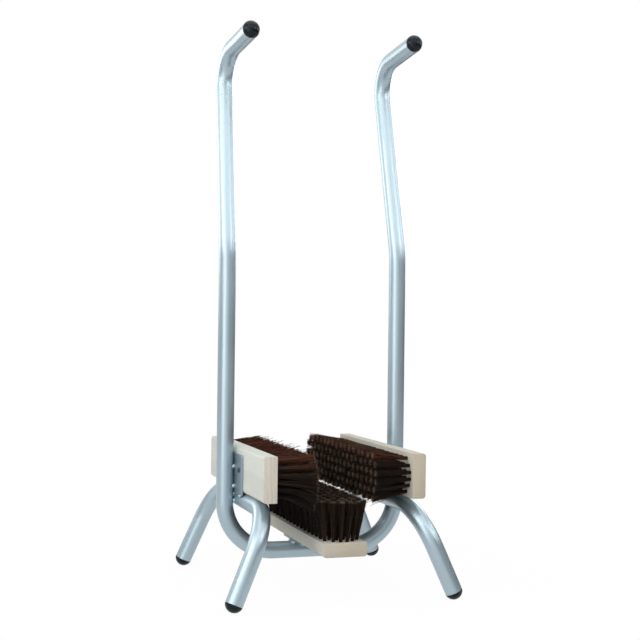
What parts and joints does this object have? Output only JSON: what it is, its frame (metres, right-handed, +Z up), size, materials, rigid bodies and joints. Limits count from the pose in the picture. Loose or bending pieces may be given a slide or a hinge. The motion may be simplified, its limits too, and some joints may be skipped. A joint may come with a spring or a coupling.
{
  "type": "boot scraper",
  "caption": "Free-standing boot scraper: bent tube frame with brushes for both sides and the sole of a boot, arched legs and two steadying handles.",
  "frame": {"origin": "on the floor, midway between the four feet", "axes": "+Z up; -Y towards the user, the way the handles point; +X to the user's right; the brushes run along Y"},
  "size_m": [0.3832, 0.4014, 0.9071],
  "materials": {
    "paint": "satin silver-grey paint",
    "cap": "smooth black moulded plastic",
    "wood": "pale planed hardwood, unvarnished",
    "bristle": "stiff dark brown brush fill",
    "screw": "dark plated steel"
  },
  "bodies": {
    "root": {"frame_tube": "paint", "leg_left": "paint", "leg_right": "paint", "handle_cap_left": "cap", "handle_cap_right": "cap", "foot_cap_front_left": "cap", "foot_cap_front_right": "cap", "foot_cap_rear_left": "cap", "foot_cap_rear_right": "cap", "plate_left": "paint", "plate_right": "paint", "plate_bottom": "paint", "brush_block_left": "wood", "brush_block_right": "wood", "brush_block_bottom": "wood", "bristles_left": "bristle", "bristles_right": "bristle", "bristles_bottom": "bristle", "screw_left_front": "screw", "screw_left_rear": "screw", "screw_right_front": "screw", "screw_right_rear": "screw", "screw_bottom_front": "screw", "screw_bottom_rear": "screw"}
  },
  "joints": []
}
